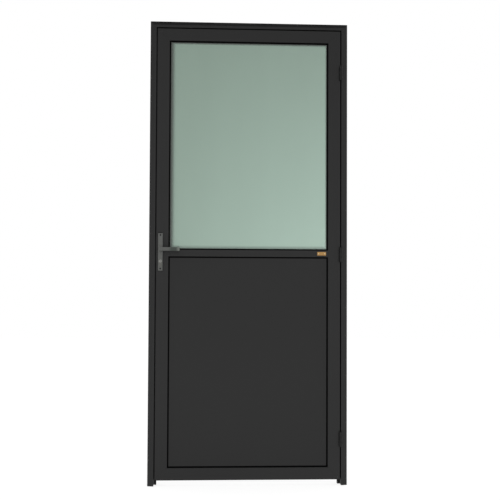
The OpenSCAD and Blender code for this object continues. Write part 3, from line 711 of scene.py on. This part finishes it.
@dataclass
class BarePlate:
    """Small bare brass-coloured plate at the hinge end of the middle rail, with a rim and two pins."""

    width: float = 0.040
    height: float = 0.016
    thickness: float = 0.0012
    rim: float = 0.0016
    dip: float = 0.0004
    edge: float = 0.0003
    edge_steps: int = 3
    pin_radius: float = 0.0022
    pin_height: float = 0.0007
    pin_sides: int = 24
    pin_inset: float = 0.0055
    dome_step: float = 0.35
    dome_rise: tuple[float, ...] = (0.3, 0.1)
    end_gap: float = 0.0095
    lift: float = 0.0005
    pieces: list[bpy.types.Object] = field(default_factory=list)

    def centre(self) -> Vector:
        """Finds where the plate sits.

        Returns:
            The middle of the plate's back, on the front face of the middle rail.
        """
        low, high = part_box("rail_mid")
        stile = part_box("stile_hinge")[0].x
        return Vector((stile - self.end_gap - self.width / 2, low.y, (low.z + high.z) / 2 + self.lift))

    def build(self) -> None:
        """Models the plate and its pins and lets them ride on the leaf."""
        self.pieces = [self.plate(), *self.pins()]
        for piece in self.pieces:
            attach(piece, Body.LEAF.value)

    def plate(self) -> bpy.types.Object:
        """Models the plate from a block: its front is inset to a rim and its edges are rounded.

        Returns:
            The finished plate.
        """
        at = self.centre()
        bpy.ops.object.select_all(action="DESELECT")
        bpy.ops.mesh.primitive_cube_add(size=1, location=(at.x, at.y - self.thickness / 2, at.z))
        piece = bpy.context.object
        piece.name = piece.data.name = "bare_plate"
        piece.scale = (self.width, self.thickness, self.height)
        bpy.ops.object.transform_apply(location=True, rotation=True, scale=True)
        pick_front(piece)
        bpy.ops.object.mode_set(mode="EDIT")
        bpy.ops.mesh.inset(thickness=self.rim, depth=0)
        bpy.ops.mesh.inset(thickness=self.dip, depth=-self.dip)
        bpy.ops.object.mode_set(mode="OBJECT")
        round_edges(piece, self.edge, self.edge_steps)
        return piece

    def pins(self) -> list[bpy.types.Object]:
        """Models one domed pin and copies it to the other end.

        Returns:
            Both pins.
        """
        at = self.centre()
        reach = self.width / 2 - self.pin_inset
        seat = at.y - self.thickness + self.dip
        bpy.ops.object.select_all(action="DESELECT")
        bpy.ops.mesh.primitive_cylinder_add(
            vertices=self.pin_sides, radius=self.pin_radius, depth=self.pin_height,
            location=(at.x - reach, seat - self.pin_height / 2, at.z), rotation=(math.pi / 2, 0, 0),
        )
        left = bpy.context.object
        left.name = left.data.name = "bare_plate_pin_left"
        bpy.ops.object.transform_apply(location=True, rotation=True, scale=True)
        pick_front(left)
        bpy.ops.object.mode_set(mode="EDIT")
        for rise in self.dome_rise:
            bpy.ops.mesh.inset(thickness=self.pin_radius * self.dome_step, depth=self.pin_height * rise)
        bpy.ops.object.mode_set(mode="OBJECT")
        shade(left)
        right = left.copy()
        right.data = left.data.copy()
        right.name = right.data.name = "bare_plate_pin_right"
        bpy.context.collection.objects.link(right)
        right.data.transform(Matrix.Translation((2 * reach, 0, 0)))
        return [left, right]

    def dress(self) -> None:
        """Gives plate and pins their brass-coloured finishes."""
        # anodised sheet in a brass colour, brushed lengthways: warm, with a soft streaked gloss
        sheet = BrushedMetal(
            "brass_coloured_sheet", "#9c7747", "#bb9562", roughness=0.36, grain=Grain.ALONG_X,
        )
        # turned brass pins: paler and brighter than the sheet
        pin = BrushedMetal("turned_brass", "#d3c19b", "#e6d8b8", roughness=0.28)
        bright = pin.material()
        for piece, finish in zip(self.pieces, (sheet.material(), bright, bright)):
            piece.data.materials.append(finish)
            log.info("%s on %s: %s", piece.name, Body.LEAF.value, finish.name)


@dataclass
class DoorLeaf(Assembly):
    """Stiles, rails, glass, panel, lock case, handle plates and the small bare plate."""

    bodies: tuple[Body, ...] = (Body.LEAF,)
    plate: BarePlate = field(default_factory=BarePlate)

    def build(self) -> None:
        """Adds the bare plate."""
        self.plate.build()

    def dress(self, palette: Palette) -> None:
        """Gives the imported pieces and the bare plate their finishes.

        Args:
            palette: The finishes of the door.
        """
        super().dress(palette)
        self.plate.dress()


@dataclass(frozen=True)
class Lamp:
    """One soft round lamp: its place and size in metres and its power in watts."""

    name: str
    at: Point
    size: float
    power: float


@dataclass(frozen=True)
class Studio:
    """Pale floor, white room, a low lamp before the door, a weak one far out on the left, a dark card."""

    floor_half: float = 12.0
    floor_grain_mm: float = 30.0
    floor_dark: str = "#ebebea"
    floor_light: str = "#f1f1f0"
    floor_shade: str = "#a8a8a8"
    floor_glow: float = 0.8
    ambient: float = 0.6
    lamp_aim: Point = (0.0, 0.0, 1.05)
    low_lamp: Lamp = Lamp("low_lamp", (-0.1, -3.0, 0.55), 0.4, 47.0)
    side_lamp: Lamp = Lamp("side_lamp", (-4.5, -4.5, 0.5), 1.4, 35.0)
    card_low: Point = (-3.0, -2.6, 3.6)
    card_high: Point = (3.0, -0.3, 3.6)

    def build(self) -> None:
        """Makes the world, the floor, the lamps and the dark card."""
        self.world()
        self.floor()
        self.lamps()
        self.card()

    def seen(self, tree: bpy.types.NodeTree) -> bpy.types.NodeSocket:
        """Tells rays that show the background from rays that only light the object.

        Args:
            tree: Node tree to add to.

        Returns:
            An output that is 1 for camera, glossy and transmission rays.
        """
        path = add(tree, "LightPath").outputs
        first = add(tree, "Math", {0: path["Is Camera Ray"], 1: path["Is Glossy Ray"]}, operation="MAXIMUM")
        both = add(
            tree, "Math", {0: first.outputs["Value"], 1: path["Is Transmission Ray"]}, operation="MAXIMUM",
        )
        return both.outputs["Value"]

    def world(self) -> None:
        """White to the eye, in gloss and through glass; softer as light on the object."""
        world = bpy.data.worlds.new("white_room")
        bpy.context.scene.world = world
        world.use_nodes = True
        tree = world.node_tree
        tree.nodes.clear()
        strength = add(tree, "MapRange", {"Value": self.seen(tree), "To Min": self.ambient, "To Max": 1.0})
        back = add(tree, "Background", {"Color": WHITE, "Strength": strength.outputs["Result"]})
        add(tree, "OutputWorld", {"Surface": back.outputs["Background"]})

    def floor(self) -> None:
        """A wide pale floor that is white to the eye and keeps the object's shadow."""
        bpy.ops.object.select_all(action="DESELECT")
        bpy.ops.mesh.primitive_plane_add(size=2 * self.floor_half, location=(0, 0, 0))
        floor = bpy.context.object
        floor.name = floor.data.name = "studio_floor"
        floor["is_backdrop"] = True
        material, tree = fresh("pale_floor")
        place = add(tree, "TexCoord").outputs["Object"]
        grain = add(
            tree, "TexNoise",
            {"Vector": place, "Scale": per_mm(self.floor_grain_mm), "Detail": CLOUDED},
        )
        tone = add(
            tree, "Mix",
            {"Factor": grain.outputs["Fac"], "A": linear(self.floor_dark), "B": linear(self.floor_light)},
            data_type="RGBA",
        )
        plain = add(tree, "BsdfDiffuse", {"Color": tone.outputs["Result"]})
        dull = add(tree, "BsdfDiffuse", {"Color": linear(self.floor_shade)})
        glow = add(tree, "Emission", {"Color": WHITE, "Strength": self.floor_glow})
        shown = add(tree, "AddShader", {0: dull.outputs["BSDF"], 1: glow.outputs["Emission"]})
        either = add(
            tree, "MixShader", {0: self.seen(tree), 1: plain.outputs["BSDF"], 2: shown.outputs["Shader"]},
        )
        add(tree, "OutputMaterial", {"Surface": either.outputs["Shader"]})
        floor.data.materials.append(material)

    def lamps(self) -> None:
        """Hangs both lamps, aimed at the door and seen neither in gloss nor through the glass."""
        for lamp in (self.low_lamp, self.side_lamp):
            data = bpy.data.lights.new(lamp.name, "AREA")
            data.shape = "DISK"
            data.size = lamp.size
            data.energy = lamp.power
            holder = bpy.data.objects.new(lamp.name, data)
            bpy.context.scene.collection.objects.link(holder)
            holder.location = lamp.at
            aim = Vector(self.lamp_aim) - Vector(lamp.at)
            holder.rotation_euler = aim.to_track_quat("-Z", "Y").to_euler()
            holder.visible_glossy = holder.visible_transmission = False

    def card(self) -> None:
        """A dark card over the front, so that faces which look up mirror less light than upright ones."""
        low, high = Vector(self.card_low), Vector(self.card_high)
        bpy.ops.object.select_all(action="DESELECT")
        bpy.ops.mesh.primitive_plane_add(size=1, location=(low + high) / 2)
        card = bpy.context.object
        card.name = card.data.name = "dark_card"
        card.scale = (high.x - low.x, high.y - low.y, 1)
        bpy.ops.object.transform_apply(location=True, rotation=True, scale=True)
        card.visible_camera = card.visible_diffuse = False
        card.visible_transmission = card.visible_shadow = False
        card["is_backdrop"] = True
        # black felt: hardly any light comes back from it
        felt = Moulded("black_felt", "#050505", "#101010", roughness=0.85, specular=0.0, grain_mm=4.0)
        card.data.materials.append(felt.material())


@dataclass(frozen=True)
class Viewpoint:
    """Camera at the photograph's viewing angle, for a square frame; the angles are in degrees."""

    at: Point = (-0.249, -4.5, 0.902)
    yaw: float = 3.26
    pitch: float = 2.03
    roll: float = 0.25
    lens_share: float = 1.9814

    def build(self) -> None:
        """Makes the camera from its place, its three angles and its lens."""
        data = bpy.data.cameras.new("viewpoint")
        data.sensor_width = SENSOR_MM
        data.lens = SENSOR_MM * self.lens_share
        camera = bpy.data.objects.new("viewpoint", data)
        bpy.context.scene.collection.objects.link(camera)
        yaw, pitch, roll = (math.radians(angle) for angle in (self.yaw, self.pitch, self.roll))
        ahead = Vector((math.sin(yaw) * math.cos(pitch), math.cos(yaw) * math.cos(pitch), math.sin(pitch)))
        right = Vector((math.cos(yaw), -math.sin(yaw), 0))
        up = right.cross(ahead)
        across = math.cos(roll) * right + math.sin(roll) * up
        over = math.cos(roll) * up - math.sin(roll) * right
        turned = Matrix((across, over, -ahead)).transposed().to_4x4()
        camera.matrix_world = Matrix.Translation(self.at) @ turned
        bpy.context.scene.camera = camera


def compare_sizes() -> None:
    """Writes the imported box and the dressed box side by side."""
    boxes = {"cad": CAD_BOX, "visual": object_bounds()}
    for name, box in boxes.items():
        log.info("%s box: %s", name, [[round(value, 4) for value in corner] for corner in box])


def main() -> None:
    """Builds the scene in order and reports each piece."""
    logging.basicConfig(level=logging.INFO, format="%(name)s: %(message)s")
    bpy.context.scene.view_settings.view_transform = "Standard"
    Viewpoint().build()
    Studio().build()
    palette = Palette()
    palette.prepare()
    for assembly in (DoorFrame(), DoorLeaf(), HandleSet(), LockBolts()):
        assembly.build()
        assembly.dress(palette)
    compare_sizes()


if __name__ == "__main__":
    main()
